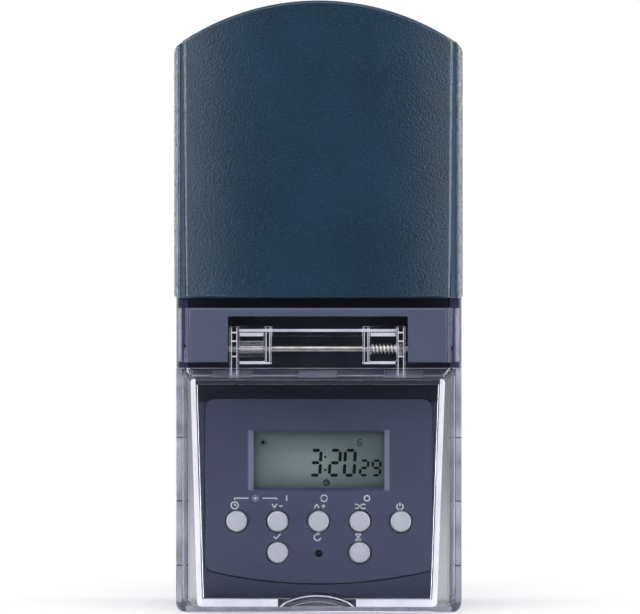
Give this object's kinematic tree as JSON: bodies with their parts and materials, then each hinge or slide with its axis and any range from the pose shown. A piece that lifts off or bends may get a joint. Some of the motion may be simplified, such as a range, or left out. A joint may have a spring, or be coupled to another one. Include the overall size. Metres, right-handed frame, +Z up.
{
  "type": "plug-in timer",
  "caption": "Splashproof plug-in timer with a hinged socket cover and a clear sprung lid over its display and push buttons.",
  "frame": {"origin": "centre of the plug's face, midway between the two pins", "axes": "+Y into the wall along the pins, +Z up towards the arched cover, +X to the right as seen from the front"},
  "size_m": [0.0644, 0.0922, 0.1366],
  "materials": {
    "cover_abs": "fine spark-eroded grain",
    "shell_abs": "fine spark-eroded grain",
    "panel_abs": "satin",
    "clear_plastic": "clear polished moulding",
    "button_plastic": "satin",
    "insert_plastic": "satin, heat resistant",
    "shutter_plastic": "satin",
    "steel": "drawn",
    "nickel_brass": "nickel plated",
    "brass": "bare strip",
    "rubber": "matte",
    "membrane_rubber": "matte silicone",
    "display_glass": "reflective liquid crystal panel",
    "board": "solder resist",
    "component": "moulded"
  },
  "bodies": {
    "housing": {"rear_housing": "shell_abs", "housing_seal": "rubber", "housing_screws": "steel", "front_housing": "shell_abs", "plug_insert": "insert_plastic", "line_pin": "nickel_brass", "neutral_pin": "nickel_brass", "plug_gasket": "rubber", "plug_earth_clip": "nickel_brass", "socket_insert": "insert_plastic", "socket_earth_clip": "nickel_brass", "line_contact": "brass", "neutral_contact": "brass", "cover_hinge_pin": "steel", "cover_spring": "steel", "lid_hinge_pin": "steel", "lid_spring": "steel", "control_fascia": "panel_abs", "display_window": "clear_plastic", "display_panel": "display_glass", "display_connector": "membrane_rubber", "keypad_membrane": "membrane_rubber", "control_board": "board", "backup_battery": "component", "power_board": "board", "board_screws": "steel", "relay": "component", "capacitor": "component", "smoothing_capacitor": "component", "fuse": "component", "board_link": "component", "line_bar": "brass", "neutral_bar": "brass"},
    "cover": {"socket_cover": "cover_abs", "cover_gasket": "rubber"},
    "lid": {"clear_lid": "clear_plastic"},
    "shutter_slide": {"shutter": "shutter_plastic"},
    "reset": {"reset_plunger": "component"},
    "clock_key": {"clock_button": "button_plastic"},
    "minus_key": {"minus_button": "button_plastic"},
    "plus_key": {"plus_button": "button_plastic"},
    "random_key": {"random_button": "button_plastic"},
    "power_key": {"power_button": "button_plastic"},
    "set_key": {"set_button": "button_plastic"},
    "countdown_key": {"countdown_button": "button_plastic"}
  },
  "joints": [
    {"name": "cover_hinge", "type": "hinge", "parent": "housing", "child": "cover", "pos_m": [0, -0.056, 0.031], "axis": [-1, 0, 0], "range_deg": [0, 95], "stiffness_Nm_per_rad": 0.012, "springref_deg": -20.05, "deforming": ["cover_spring"]},
    {"name": "lid_hinge", "type": "hinge", "parent": "housing", "child": "lid", "pos_m": [0, -0.062, -0.0421], "axis": [-1, 0, 0], "range_deg": [0, 110], "stiffness_Nm_per_rad": 0.006, "springref_deg": -20.05, "deforming": ["lid_spring"]},
    {"name": "shutter_travel", "type": "slide", "parent": "housing", "child": "shutter_slide", "axis": [1, 0, 0], "range_m": [0, 0.006], "stiffness_N_per_m": 60, "springref_m": -0.002},
    {"name": "reset_press", "type": "slide", "parent": "housing", "child": "reset", "axis": [0, 1, 0], "range_m": [0, 0.0005], "stiffness_N_per_m": 300, "springref_m": -0.0003},
    {"name": "clock_press", "type": "slide", "parent": "housing", "child": "clock_key", "axis": [0, 1, 0], "range_m": [0, 0.0008], "stiffness_N_per_m": 400, "springref_m": -0.0005},
    {"name": "minus_press", "type": "slide", "parent": "housing", "child": "minus_key", "axis": [0, 1, 0], "range_m": [0, 0.0008], "stiffness_N_per_m": 400, "springref_m": -0.0005},
    {"name": "plus_press", "type": "slide", "parent": "housing", "child": "plus_key", "axis": [0, 1, 0], "range_m": [0, 0.0008], "stiffness_N_per_m": 400, "springref_m": -0.0005},
    {"name": "random_press", "type": "slide", "parent": "housing", "child": "random_key", "axis": [0, 1, 0], "range_m": [0, 0.0008], "stiffness_N_per_m": 400, "springref_m": -0.0005},
    {"name": "power_press", "type": "slide", "parent": "housing", "child": "power_key", "axis": [0, 1, 0], "range_m": [0, 0.0008], "stiffness_N_per_m": 400, "springref_m": -0.0005},
    {"name": "set_press", "type": "slide", "parent": "housing", "child": "set_key", "axis": [0, 1, 0], "range_m": [0, 0.0008], "stiffness_N_per_m": 400, "springref_m": -0.0005},
    {"name": "countdown_press", "type": "slide", "parent": "housing", "child": "countdown_key", "axis": [0, 1, 0], "range_m": [0, 0.0008], "stiffness_N_per_m": 400, "springref_m": -0.0005}
  ]
}
